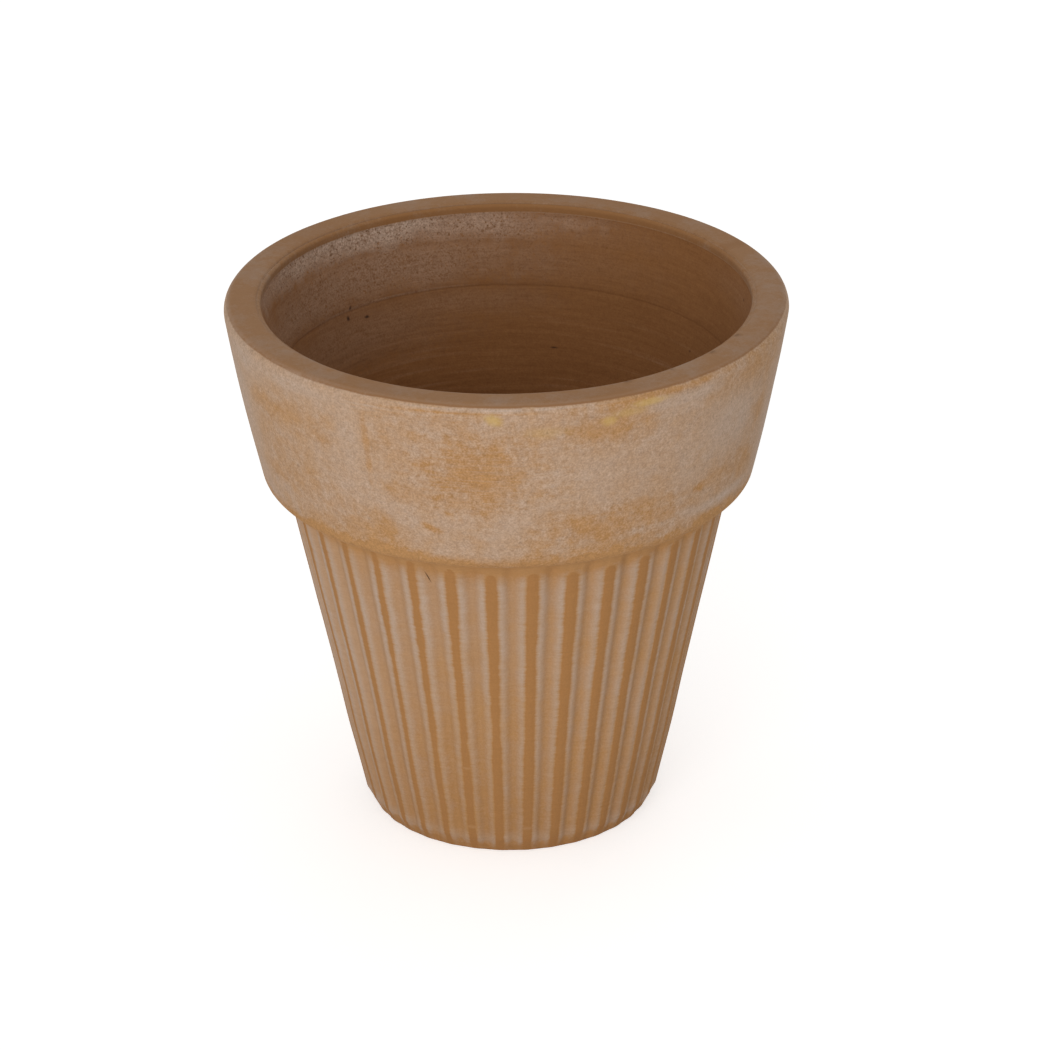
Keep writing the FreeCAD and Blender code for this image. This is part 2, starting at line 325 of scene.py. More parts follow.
class Outline:
    """The closed outline of one turned section: radii, heights, and the clay's traits at each point."""

    def __init__(self, radius, height, **traits):
        self.points = [(radius, height)]
        self.traits = [traits]

    def to(self, radius, height, **traits):
        self.points.append((radius, height))
        self.traits.append(traits)

    def line(self, radius, height, steps, swell=0.0, **traits):
        """A run of even steps, which swells to its right in the middle."""
        r0, z0 = self.points[-1]
        run = Vector((radius - r0, height - z0))
        right = Vector((run.y, -run.x)).normalized()
        for step in range(1, steps + 1):
            done = step / steps
            out = right * (4 * swell * done * (1 - done))
            self.to(r0 + run.x * done + out.x, z0 + run.y * done + out.y, **traits)

    def arc(self, centre, radius, first, last, steps, **traits):
        """A round from one angle to another, in degrees. Its first point is already there."""
        for step in range(1, steps + 1):
            turn = math.radians(first + (last - first) * step / steps)
            self.to(centre[0] + radius * math.cos(turn), centre[1] + radius * math.sin(turn), **traits)

    def closed(self):
        """The outline without its last point, which is the first one again."""
        self.points.pop()
        self.traits.pop()
        return self


def straight_radius(sizes, height):
    """Reach of the straight slope from the foot to the neck, at a height."""
    slope = (sizes.neck_radius - sizes.foot_radius) / sizes.rim_foot
    return sizes.foot_radius + slope * height


def inside_radius(sizes, height):
    """Reach of the wall's inside, which has no swell."""
    return straight_radius(sizes, height) - sizes.wall_thickness


def crest_radius(sizes, height):
    """Reach of the ridge crests, which swell slightly above the foot."""
    swell = sizes.wall_swell * math.exp(-((height - SWELL_MIDDLE) / SWELL_SPREAD) ** 2)
    return straight_radius(sizes, height) + swell


def cove_share(sizes, height):
    """From 0 at the foot of the hollow round under the rim band to 1 at its top."""
    foot = sizes.rim_foot - sizes.cove_height
    return min(max((height - foot) / sizes.cove_height, 0.0), 1.0)


def wall_radius(sizes, height):
    """Reach of the ridge crests and of the hollow round above them."""
    flare = sizes.cove_width * (1 - math.sqrt(1 - cove_share(sizes, height) ** 2))
    return crest_radius(sizes, height) + flare


def flute_depth(sizes, height):
    """Depth of the flutes, which run out under the rim band and grow shallow on the drawn-in foot."""
    rise = sizes.flute_depth_neck - sizes.flute_depth_foot
    depth = sizes.flute_depth_foot + rise * height / sizes.rim_foot
    at_foot = FOOT_FLUTE_SHARE + (1 - FOOT_FLUTE_SHARE) * min(height / sizes.bevel_height, 1.0)
    return depth * at_foot * (1 - cove_share(sizes, height) ** 1.5)


def rim_outline(sizes):
    """Underside, lower round, swelling face, lip, bead and inside, with the ledge where the wash ends."""
    top = sizes.pot_height
    inside_foot = inside_radius(sizes, sizes.rim_foot)
    mouth = sizes.rim_radius - sizes.lip_width
    low_round = sizes.rim_lower_radius
    low = Vector((sizes.neck_radius + sizes.rim_overhang - low_round, sizes.rim_foot + low_round))
    lip_round = sizes.lip_outer_radius
    lip = Vector((sizes.rim_radius - lip_round, top - lip_round))
    span = lip - low
    lean = math.degrees(math.atan2(span.y, span.x) - math.acos((low_round - lip_round) / span.length))
    face_end = lip + lip_round * Vector((math.cos(math.radians(lean)), math.sin(math.radians(lean))))
    inner_round = sizes.lip_inner_radius
    inner = (mouth + inner_round, top - inner_round)
    bead_round = sizes.bead_round
    bead_drop = 1.2 * MM
    bead = (mouth + bead_round, top - bead_drop - bead_round)
    groove_width = 0.35 * MM
    groove_depth = 0.15 * MM
    bead_foot = top - sizes.bead_height
    under_bead = mouth + sizes.bead_step
    slope = (under_bead - inside_foot) / (bead_foot - sizes.rim_foot)
    ring = inside_foot + slope * (sizes.ring_height - sizes.rim_foot)
    ledge = 0.9 * MM
    inner_strip = 2.5 * MM

    outline = Outline(inside_foot, sizes.rim_foot, inner=1)
    outline.line(low.x, sizes.rim_foot, 4)
    outline.arc(low, low_round, -90, lean, 9)
    outline.line(face_end.x, face_end.y, 26, swell=sizes.rim_swell)
    outline.arc(lip, lip_round, lean, 90, 10, lip=1, edge=1)
    outline.line(inner[0] + inner_strip, top, 5, lip=1)
    outline.to(inner[0], top, lip=1, mouth=0.6)
    outline.arc(inner, inner_round, 90, 120, 5, lip=1, mouth=1)
    outline.to(bead[0] + groove_width, top - bead_drop - groove_depth, groove=1, bead=0.5, lip=0.5)
    outline.arc(bead, bead_round, 90, 180, 7, bead=1)
    outline.line(mouth, bead_foot + ledge, 2, bead=1)
    outline.to(under_bead, bead_foot, inner=1)
    outline.to(under_bead - slope * ledge, bead_foot - ledge, inner=1)
    outline.line(ring - sizes.ring_step, sizes.ring_height + ledge, 14, inner=1)
    outline.to(ring - sizes.ring_step, sizes.ring_height, inner=1)
    outline.to(ring, sizes.ring_height - ledge / 3, inner=1)
    outline.to(ring - slope * ledge, sizes.ring_height - ledge, inner=1)
    outline.line(inside_foot, sizes.rim_foot, 17, inner=1)
    return outline.closed()


def wall_outline(sizes):
    """Seam on the floor, fluted outside, hollow round under the rim band, seam, inside and floor round."""
    low = sizes.floor_top
    high = sizes.rim_foot
    cove_foot = high - sizes.cove_height
    round_top = low + sizes.floor_round
    inside_foot = inside_radius(sizes, round_top)
    round_centre = (inside_foot - sizes.floor_round, round_top)

    outline = Outline(round_centre[0], low, inner=1)
    outline.line(crest_radius(sizes, low), low, 3)
    outline.traits[-1] = {"fluted": 1}
    for foot, top, rows in ((low, cove_foot, 46), (cove_foot, high, 10)):
        for row in range(1, rows + 1):
            height = foot + (top - foot) * row / rows
            outline.to(wall_radius(sizes, height), height, fluted=1)
    outline.line(inside_radius(sizes, high), high, 3, inner=1)
    outline.line(inside_foot, round_top, 24, inner=1)
    outline.arc(round_centre, sizes.floor_round, 0, -90, 7, inner=1)
    return outline.closed()


def base_outline(sizes):
    """Ground, standing edge, drawn-in foot, seam, floor and drain hole."""
    top = sizes.floor_top
    drain = sizes.drain_radius
    edge = (sizes.standing_radius - sizes.edge_radius, sizes.edge_radius)
    worn = sizes.drain_round
    bevel_end = (crest_radius(sizes, sizes.bevel_height), sizes.bevel_height)

    outline = Outline(drain, worn)
    outline.arc((drain + worn, worn), worn, 180, 270, 4)
    outline.line(edge[0], 0, 8)
    outline.arc(edge, sizes.edge_radius, -90, -10, 5, fluted=1)
    outline.line(*bevel_end, 8, fluted=1)
    outline.line(crest_radius(sizes, top), top, 4, fluted=1)
    outline.line(drain + worn, top, 10, inner=1)
    outline.arc((drain + worn, top - worn), worn, 90, 180, 4, inner=1)
    outline.line(drain, worn, 3, inner=1)
    return outline.closed()


def outline_mesh(name, outline, sizes):
    """The outline as a ring of edges, whose points carry what the node tree reads."""
    total = len(outline.points)
    mesh = bpy.data.meshes.new(name)
    points = [(radius, 0, height) for radius, height in outline.points]
    mesh.from_pydata(points, [(i, (i + 1) % total) for i in range(total)], [])
    columns = {trait: [traits.get(trait, 0.0) for traits in outline.traits] for trait in TRAITS}
    columns["reach"], columns["rise"] = zip(*outline.points)
    columns["depth"] = [
        flute_depth(sizes, height) if fluted else 0.0
        for height, fluted in zip(columns["rise"], columns["fluted"])]
    for column, values in columns.items():
        mesh.attributes.new(column, "FLOAT", "POINT").data.foreach_set("value", values)
    return mesh


# The node tree that turns an outline and presses the flutes into it

TREE_NUMBERS = (
    "First Crest", "Ridge Share", "Ridge Spread", "Ridge Scatter", "Ridge Wander", "Unevenness",
    "Throwing Rings")
SEED = 7
CREST_ROUND = 0.15
SHARP_CORNER = math.radians(50)


def turned_section_tree():
    """Turns an outline about Z, hollows the flutes, and leaves the clay a little uneven."""
    inputs = {"Outline": "geometry", "Columns": "count", "Flute Count": "count"}
    inputs.update({name: "number" for name in TREE_NUMBERS})
    inputs["Material"] = "material"
    graph, given, result = new_tree(
        "Turned clay section", "GeometryNodeTree", inputs, {"Section": "geometry"})

    def stored(geometry, name, value):
        inputs = {"Geometry": geometry, "Name": name, "Value": value}
        node = graph.add("GeometryNodeStoreNamedAttribute", inputs, domain="POINT")
        return node.outputs[0]

    def trait(name):
        return graph.field(graph.add("GeometryNodeInputNamedAttribute", {"Name": name}))

    index = graph.field(graph.add("GeometryNodeInputIndex"))
    circle = graph.add("GeometryNodeCurvePrimitiveCircle", {"Resolution": given["Columns"]})
    ring = stored(circle.outputs["Curve"], "turn", index * FULL_TURN / given["Columns"])
    profile = graph.add("GeometryNodeMeshToCurve", {"Mesh": given["Outline"]})
    skin = graph.add("GeometryNodeCurveToMesh", {"Curve": ring, "Profile Curve": profile.outputs[0]})

    turn, reach, rise = trait("turn"), trait("reach"), trait("rise")
    pitch = FULL_TURN / given["Flute Count"]
    ridge = graph.math("FLOOR", (turn - given["First Crest"]) / pitch)

    def crest_angle(number):
        """Where a ridge stands at this height: off its even place by a fixed draw, and wandering."""
        which = graph.math("FLOORED_MODULO", number, given["Flute Count"])
        draw = graph.add("FunctionNodeRandomValue", {"ID": which, "Seed": SEED}, data_type="FLOAT")
        off = (graph.field(draw, 1) - 0.5) * 2 * given["Ridge Scatter"]
        wander = graph.noise(graph.vector(which * 3.7, rise * 42, 0.0), 1.0) * given["Ridge Wander"]
        even = given["First Crest"] + number * pitch
        return even + graph.math("COSINE", even) * given["Ridge Spread"] + off + wander

    left = crest_angle(ridge)
    across = (turn - left) / (crest_angle(ridge + 1) - left)
    from_crest = graph.math("MINIMUM", across, 1 - across)
    edge = given["Ridge Share"] / 2
    down = graph.clamp((from_crest - edge) / (0.5 - edge))
    hollow = 0.5 - graph.math("COSINE", down * math.pi) * 0.5
    rounded = graph.ramp(from_crest, 0.03, 0.2)
    out = reach - trait("depth") * (rounded * CREST_ROUND + hollow * (1 - CREST_ROUND))

    east = graph.math("COSINE", turn)
    north = graph.math("SINE", turn)
    uneven = graph.noise(graph.vector(east, north, rise * 9), 2.2) * given["Unevenness"] * 2
    rings = graph.noise(graph.vector(east * 0.35, north * 0.35, rise * 150), 1.0, detail=3.0)
    radius = out + uneven + rings * given["Throwing Rings"] * 2 * trait("inner")
    place = graph.vector(radius * east, radius * north, rise)

    outward = graph.add("GeometryNodeFlipFaces", {"Mesh": skin.outputs[0]}).outputs[0]
    shaped = graph.add("GeometryNodeSetPosition", {"Geometry": outward, "Position": place}).outputs[0]
    shaped = stored(shaped, "from_crest", from_crest)
    smooth = graph.add(
        "GeometryNodeSetShadeSmooth", {"Geometry": shaped, "Shade Smooth": True}, domain="FACE")
    corner = graph.field(graph.add("GeometryNodeInputMeshEdgeAngle"))
    sharp = graph.math("GREATER_THAN", corner, SHARP_CORNER)
    creased = graph.add(
        "GeometryNodeSetShadeSmooth",
        {"Geometry": smooth.outputs[0], "Selection": sharp, "Shade Smooth": False}, domain="EDGE")
    bare = creased.outputs[0]
    for name in ("turn", "reach", "rise", "depth"):
        bare = graph.add("GeometryNodeRemoveAttribute", {"Geometry": bare, "Name": name}).outputs[0]
    real = graph.add("GeometryNodeRealizeInstances", {"Geometry": bare})
    finished = graph.add(
        "GeometryNodeSetMaterial", {"Geometry": real.outputs[0], "Material": given["Material"]})
    graph.feed(result.inputs["Section"], finished.outputs[0])
    return graph.tree


def turn_section(context, name, outline, node, material):
    """Turn one outline into a closed piece that stands for a CAD node."""
    sizes = context.scene.flower_pot.sizes
    tree = bpy.data.node_groups.get("Turned clay section") or turned_section_tree()
    piece = bpy.data.objects.new(name, outline_mesh(name, outline, sizes))
    context.scene.collection.objects.link(piece)
    values = {title: getattr(sizes, title.lower().replace(" ", "_")) for title in TREE_NUMBERS}
    values["Columns"] = sizes.flute_count * sizes.flute_steps
    values["Flute Count"] = sizes.flute_count
    values["Material"] = material
    modifier = piece.modifiers.new("Turned clay section", "NODES")
    modifier.node_group = tree
    for item in tree.interface.items_tree:
        if item.name in values:
            modifier[item.identifier] = values[item.name]
    graph = context.evaluated_depsgraph_get()
    mesh = bpy.data.meshes.new_from_object(
        piece.evaluated_get(graph), preserve_all_data_layers=True, depsgraph=graph)
    piece.modifiers.clear()
    piece.data = mesh
    mesh.name = name
    check_closed(piece)
    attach(piece, BODY)
    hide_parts(node)


def check_closed(piece):
    """Stop if a piece is open or inside out."""
    solid = bmesh.new()
    solid.from_mesh(piece.data)
    open_edges = sum(not edge.is_manifold for edge in solid.edges)
    volume = solid.calc_volume(signed=True)
    solid.free()
    print("%s: %d faces, %.4f litres" % (piece.name, len(piece.data.polygons), volume * 1000))
    if open_edges or volume <= 0:
        raise RuntimeError("%s has %d open edges and a volume of %g" % (piece.name, open_edges, volume))


# Effects that the materials share

GRAINS = ("Grain", "Mottle", "Blotch", "Cloud", "Streak", "Ring")
FLAT_REACH = 78 * MM


def shared_group(name, build):
    """A shader node group that is built once."""
    return bpy.data.node_groups.get(name) or build(name)


def place_group(name):
    """Where a point is on the pot: its angle, its height, and a place that follows the turning.

    Within the flat reach that place also runs inwards, for the floor inside and the underside.
    """
    graph, _, result = new_tree(name, "ShaderNodeTree", {}, {
        "Angle": "number", "Height": "number", "Round": "vector", "Object": "vector"})
    place = graph.add("ShaderNodeTexCoord").outputs["Object"]
    split = graph.add("ShaderNodeSeparateXYZ", {"Vector": place})
    x, y, z = (graph.field(split, axis) for axis in range(3))
    radius = graph.math("MAXIMUM", graph.math("SQRT", x * x + y * y), MM)
    graph.feed(result.inputs["Angle"], graph.math("ARCTAN2", y, x))
    graph.feed(result.inputs["Height"], z)
    in_from_wall = graph.math("MAXIMUM", FLAT_REACH - radius, 0.0)
    graph.feed(result.inputs["Round"], graph.vector(x / radius, y / radius, z + in_from_wall))
    graph.feed(result.inputs["Object"], place)
    return graph.tree


def grain_group(name):
    """Sandy grain, mottle, blotches and clouds, and streaks and rings along the turning, all about zero."""
    graph, given, result = new_tree(
        name, "ShaderNodeTree", {"Object": "vector", "Round": "vector"}, dict.fromkeys(GRAINS, "number"))
    split = graph.add("ShaderNodeSeparateXYZ", {"Vector": given["Round"]})
    east, north, height = (graph.field(split, axis) for axis in range(3))
    streaks = graph.vector(east * 7, north * 7, height * 800)
    rings = graph.vector(east * 1.2, north * 1.2, height * 260)
    noises = (
        graph.noise(given["Object"], 950.0, 2.0, 0.65),
        graph.noise(given["Object"], 330.0, 2.0, 0.6),
        graph.noise(given["Object"], 110.0, 3.0, 0.62),
        graph.noise(given["Object"], 24.0, 3.0, 0.55),
        graph.noise(streaks, 1.0, 2.0, 0.6),
        graph.noise(rings, 1.0, 2.0, 0.6),
    )
    for kind, noise in zip(GRAINS, noises):
        graph.feed(result.inputs[kind], noise)
    return graph.tree


def patch_group(name):
    """A soft patch on the pot, from 0 outside to 1 in its middle, which may lean as it rises."""
    graph, given, result = new_tree(name, "ShaderNodeTree", {
        "Angle": "number", "Height": "number", "Middle Angle": "number", "Middle Height": "number",
        "Half Angle": "number", "Half Height": "number", "Lean": "number", "Ragged": "number"},
        {"Mask": "number"})
    rise = given["Height"] - given["Middle Height"]
    turn = given["Angle"] - given["Middle Angle"] - rise * given["Lean"]
    across = graph.math("WRAP", turn, math.pi, -math.pi) / given["Half Angle"]
    up = rise / given["Half Height"]
    away = graph.math("SQRT", across * across + up * up) + given["Ragged"]
    graph.feed(result.inputs["Mask"], 1 - graph.ramp(away, 0.2, 1.4))
    return graph.tree


class Clay:
    """A new clay material, with what every clay surface reads."""

    def __init__(self, name):
        self.material = bpy.data.materials.new(name)
        self.material.use_nodes = True
        self.material.node_tree.nodes.clear()
        graph = self.graph = Graph(self.material.node_tree)
        self.shader = graph.add("ShaderNodeBsdfPrincipled")
        output = graph.add("ShaderNodeOutputMaterial")
        graph.feed(output.inputs["Surface"], self.shader.outputs[0])
        self.place = graph.group(shared_group("Place on the pot", place_group))
        self.grain = graph.group(shared_group("Clay grain", grain_group), {
            "Object": self.place["Object"], "Round": self.place["Round"]})

    def trait(self, name):
        node = self.graph.add("ShaderNodeAttribute", attribute_name=name)
        return Field(self.graph, node.outputs["Fac"])

    def blend(self, **weights):
        """A sum of the clay's kinds of grain, each with its own weight."""
        return sum(self.grain[kind.capitalize()] * weight for kind, weight in weights.items())

    def patches(self, patches, ragged=1.0):
        """The fullest of several patches at each point."""
        graph = self.graph
        tree = shared_group("Patch on the pot", patch_group)
        edge = self.blend(cloud=1.3, blotch=1.3, mottle=0.8, grain=0.8) * ragged
        total = None
        for degrees, height, half_degrees, half_height, amount, *lean in patches:
            mask = graph.group(tree, {
                "Angle": self.place["Angle"], "Height": self.place["Height"],
                "Middle Angle": math.radians(degrees), "Middle Height": height * MM,
                "Half Angle": math.radians(half_degrees), "Half Height": half_height * MM,
                "Lean": math.radians(lean[0]) / MM if lean else 0.0, "Ragged": edge})["Mask"] * amount
            total = mask if total is None else graph.math("MAXIMUM", total, mask)
        return total

    def body(self, finish):
        """Colour of the bare clay, darker in soft blotches."""
        dark = self.graph.clamp(0.3 + self.blend(cloud=0.8, blotch=1.0))
        return self.graph.mix(dark, finish.clay, finish.clay_dark)

    def coated(self, finish, tint, relief, depth):
        """The material, once its shader has its colour, its dryness and its fine relief."""
        bump = self.graph.add("ShaderNodeBump", {"Strength": 0.5, "Distance": depth, "Height": relief})
        values = {
            "Base Color": tint,
            "Roughness": finish.roughness,
            "Specular IOR Level": finish.gloss,
            "Normal": bump.outputs[0],
        }
        for name, value in values.items():
            self.graph.feed(self.shader.inputs[name], value)
        return self.material


# Places on the pot: angle and height of the middle, half width in degrees, half height in millimetres, how
# strong, and for some how many degrees they lean for each millimetre up

BARE_PATCHES = (
    # Column in front, with its run to one side and the smears beside it
    (-99.5, 262, 4.0, 31, 0.75),
    (-98.5, 257, 14, 28, 1.0),
    (-92.0, 254, 7.5, 7.5, 0.9),
    (-93.4, 272, 3.2, 4.5, 0.75, -0.4),
    (-92.8, 246, 4.0, 3.2, 0.75, 0.6),
    (-100.5, 238, 9.0, 7.0, 0.65),
    (-110.5, 240, 7.0, 7.0, 0.5),
    (-113.0, 264, 5.0, 22, 0.3),
    (-104.0, 285, 5.0, 9.0, 0.45),
    (-107.3, 220, 1.8, 3.0, 1.2, -0.4),
    (-97.5, 214, 2.0, 3.2, 0.6, -0.3),
    # Edge of a wiped stretch
    (-120.2, 262, 0.8, 32, 0.6),
    # Lower edge, on one side of the front
    (-124.0, 210, 15, 13, 0.6),
    (-117.8, 215, 3.0, 11, 0.8),
    (-129.0, 223, 5.0, 7.0, 0.45),
    (-136.0, 208, 12, 9.0, 0.4),
    # Lower edge, on the other side
    (-70.5, 217, 14, 15, 0.9),
    (-56.0, 217, 7.0, 8.0, 0.85),
    (-60.5, 227, 6.0, 6.0, 0.55),
    (-54.0, 226, 2.2, 5.0, 0.6),
    (-49.0, 217, 4.5, 4.0, 0.65),
    (-44.8, 225.5, 1.8, 3.2, 1.2),
    (-60.0, 206, 24, 5.0, 0.75),
    (-31.0, 226, 9.0, 12, 0.5),
    (-26.5, 217, 6.0, 5.0, 0.4),
    (-25.0, 254, 4.0, 7.0, 0.55),
    # Under the lip
    (-72.0, 281, 11, 13, 0.75),
    (-70.5, 274, 7.0, 5.0, 0.65),
    (-62.0, 273, 4.0, 8.0, 0.5),
    (-81.5, 284, 5.0, 9.0, 0.45),
    (-56.0, 292.8, 26, 2.4, 1.0),
    (-32.0, 285, 13, 10, 0.5),
    (-99.0, 291.3, 15, 0.7, 0.8),
    # Far left
    (-148.0, 266, 10, 7.0, 0.5),
    (-137.0, 270, 7.0, 9.0, 0.4),
    (-131.8, 263, 3.5, 5.0, 0.5),
    (-151.0, 224, 8.0, 6.5, 0.5),
    (-141.0, 226, 12, 11, 0.4),
    (-150.0, 245, 10, 11, 0.25),
    # Back
    (20.0, 245, 16, 24, 0.7),
    (75.0, 222, 20, 14, 0.7),
    (118.0, 262, 14, 22, 0.7),
    (160.0, 236, 12, 26, 0.6),
)
WASH_AND_SHEEN_PATCHES = (
    (-158.0, 286, 10, 10, 0.8),
    (-140.0, 288, 20, 5.0, 0.55),
    (-124.5, 268, 2.8, 27, 0.6),
    (-80.0, 250, 15, 16, 0.4),
    (-87.0, 236, 7.0, 9.0, 0.4),
    (-37.0, 258, 10, 18, 0.8),
    (-47.0, 246, 7.0, 13, 0.55),
    (-53.0, 286, 11, 4.5, 0.65),
    (-35.0, 210.5, 12, 4.0, 1.0, 0.9),
    (-91.0, 293.2, 24, 0.8, 0.8),
    (-112.0, 224, 5.0, 13, 0.35),
    (-94.0, 220, 6.0, 9.0, 0.35),
    # Far sides: painted sheen, a paler wash along the outline where the rim turns away from view; and back
    (-167.0, 245, 10, 60, 0.9),
    (-13.0, 236, 8.0, 46, 0.8),
    (48.0, 262, 16, 20, 0.6),
    (142.0, 280, 18, 12, 0.6),
)
BRUSHED_PATCHES = (
    (-97.0, 255, 15, 24, 1.0),
    (-110.0, 289.5, 16, 5.0, 1.0),
    (75.0, 250, 30, 30, 0.7),
)
YELLOW_STAINS = (
    (-93.4, 288.0, 1.8, 3.8, 0.85, -0.15),
    (-70.4, 283.0, 1.7, 3.0, 0.75),
    (-61.5, 289.6, 4.2, 2.2, 0.75),
    (-66.5, 286.0, 4.0, 2.4, 0.45),
    (-83.0, 280.0, 4.5, 3.5, 0.25),
)
INSIDE_WASH = (
    (130, 288, 44, 12, 0.68),
    (100, 285, 34, 11, 0.43),
    (158, 286, 20, 8.0, 0.38),
    (84, 281, 36, 11, 0.08),
    (124, 267, 48, 17, 0.27),
    (150, 262, 26, 13, 0.24),
    (84, 264, 40, 13, 0.06),
    (138, 236, 38, 18, 0.14),
    (106, 243, 28, 9.0, 0.1),
    (12, 281, 16, 9.0, 0.05),
    (-75, 280, 60, 18, 0.4),
    # On the ledge
    (130, 251.4, 38, 1.2, 0.22),
)
SPECKS = (
    (134.5, 252.2, 0.5, 1.3, 0.8, -0.3),
    (135.7, 246.8, 0.55, 1.5, 1.0),
    (129.4, 244.2, 0.8, 0.9, 1.0),
    (75.9, 216.6, 1.2, 0.5, 0.8),
    (30.9, 234.4, 0.5, 0.8, 0.6),
    (8.0, 282.0, 0.7, 0.7, 0.6),
)
BARE_BEAD = ((80, 293, 70, 12, 1.0),)
# Painted shade along the groove behind the bead
DARK_GROOVE = ((110, 295, 76, 8, 1.0),)
INNER_NICKS = (
    (-63.8, 296, 1.0, 8.0, 0.4),
    (-52.0, 296, 0.7, 8.0, 0.35),
    (-38.8, 296, 1.2, 8.0, 0.4),
    (-27.8, 296, 1.0, 8.0, 0.4),
)
RUBBED_EDGE = ((-80, 295, 110, 60, 1.0),)
WORN_LIP = (
    (27, 296, 2.0, 20, 0.6),
    (68, 296, 26, 20, 0.3),
    (140, 296, 14, 20, 0.35),
    (-120, 296, 10, 20, 0.3),
    (-72, 296, 14, 20, 0.3),
)
SCRATCHES = ((-112.0, 180.8, 0.16, 3.6, 1.0, -0.17),)
STRIP_BREAKS = (
    (-105.6, 57.5, 2.4, 0.9, 0.8),
    (-105.6, 17.0, 2.6, 1.2, 0.9),
    (-85.0, 17.0, 2.6, 1.2, 0.8),
    (58.0, 40.0, 2.4, 1.0, 0.8),
    (140.0, 90.0, 2.4, 1.0, 0.7),
)
WASHED_FLUTES = (
    (-160.0, 100, 28, 120, 0.3),
    (-125.0, 150, 34, 60, 0.08),
    (60.0, 130, 40, 70, 0.16),
)
NARROW_STRIPS = (
    (-138.0, 90, 42, 200, 1.0),
    (-42.0, 90, 34, 200, 0.3),
)
LONG_STRIPS = ((-128.0, 186, 26, 20, 1.0),)


# Heights between which the finish changes

DEEP_INSIDE = (200 * MM, 250 * MM)
ABOVE_LEDGE = (249 * MM, 253 * MM)
LIP_EDGE = (LIP_TOP - 1.4 * MM, LIP_TOP - 0.1 * MM)
LIP_LIMIT = (LIP_TOP - 2.1 * MM, LIP_TOP - 1.5 * MM)
RIM_CREASE = (RIM_FOOT + 4 * MM, RIM_FOOT + 11.5 * MM)
WALL_CREASE = (RIM_FOOT - 17 * MM, RIM_FOOT - 3 * MM)
STRIP_END = RIM_FOOT - 11.8 * MM
STRIP_PITCH = 21 * MM
UPPER_WALL = (0.0, 150 * MM)
LOWER_WALL = (0.0, 100 * MM)
STANDING_EDGE = (3 * MM, 5.5 * MM)
FOOT_WASH = ((5 * MM, 8 * MM), (9 * MM, 16 * MM))


def inside_colour(clay, finish):
    """Brown clay with fine rings; near the mouth, wash that is thick at one side and full of pores."""
    graph, place, blend = clay.graph, clay.place, clay.blend
    deep = 1 - graph.ramp(place["Height"], *DEEP_INSIDE)
    rings = 0.45 - blend(streak=0.9, ring=0.4 + deep, cloud=0.6, mottle=0.6, grain=0.6)
    brown = graph.mix(graph.clamp(rings), finish.inside, finish.inside_dark)
    # Painted light: the inside clay is made lighter towards the bottom, standing in for light that reaches
    # down into the pot
    brown = graph.shade(brown, 1 + deep * 0.12 + blend(ring=deep * 0.25, streak=0.15))
    ring_wash = deep * graph.ramp(clay.grain["Ring"], 0.05, 0.25) * 0.12
    thick = clay.patches(INSIDE_WASH, ragged=0.9) + ring_wash
    pores = blend(grain=1.4, mottle=1.2, blotch=1.0, streak=0.9)
    pits = graph.ramp(graph.noise(place["Object"], 640.0, 2.0, 0.6), 0.06, 0.2)
    pits = pits * graph.ramp(place["Height"], *ABOVE_LEDGE)
    veil = graph.clamp(thick * (0.95 + pores) * (1 - pits * 0.7))
    washed = graph.mix(veil, brown, finish.wash)
    speckle = blend(grain=0.35 + thick * 1.6, mottle=0.15 + thick * 0.4)
    washed = graph.shade(washed, 1.01 + speckle - pits * thick * 0.4)
    return graph.mix(clay.patches(SPECKS, ragged=0.2), washed, finish.dirt_and_shade)


def lip_colour(clay, finish):
    """Smooth lip with smears of wash, rubbed bare along its outer edge."""
    graph, place, blend = clay.graph, clay.place, clay.blend
    smear = graph.noise(place["Object"], 45.0, 4.0, 0.68) * 3.0 + blend(mottle=0.6, grain=0.6)
    tint = graph.mix(graph.clamp(0.2 + smear), finish.lip, finish.lip_washed)
    tint = graph.shade(tint, 1 + blend(grain=0.15, mottle=0.1))
    tint = graph.mix(clay.patches(WORN_LIP, ragged=0.8), tint, finish.lip_worn)
    outer = 1 - graph.ramp(place["Height"] + blend(cloud=0.8 * MM), *LIP_EDGE)
    outer = outer * clay.trait("edge")
    # The pale wash on the lip's outer round is partly real wash and partly painted sheen, where the edge
    # turns away from view
    tint = graph.mix(outer * 0.4, tint, finish.wash)
    return graph.mix(outer * clay.patches(RUBBED_EDGE) * 0.9, tint, finish.lip_worn)


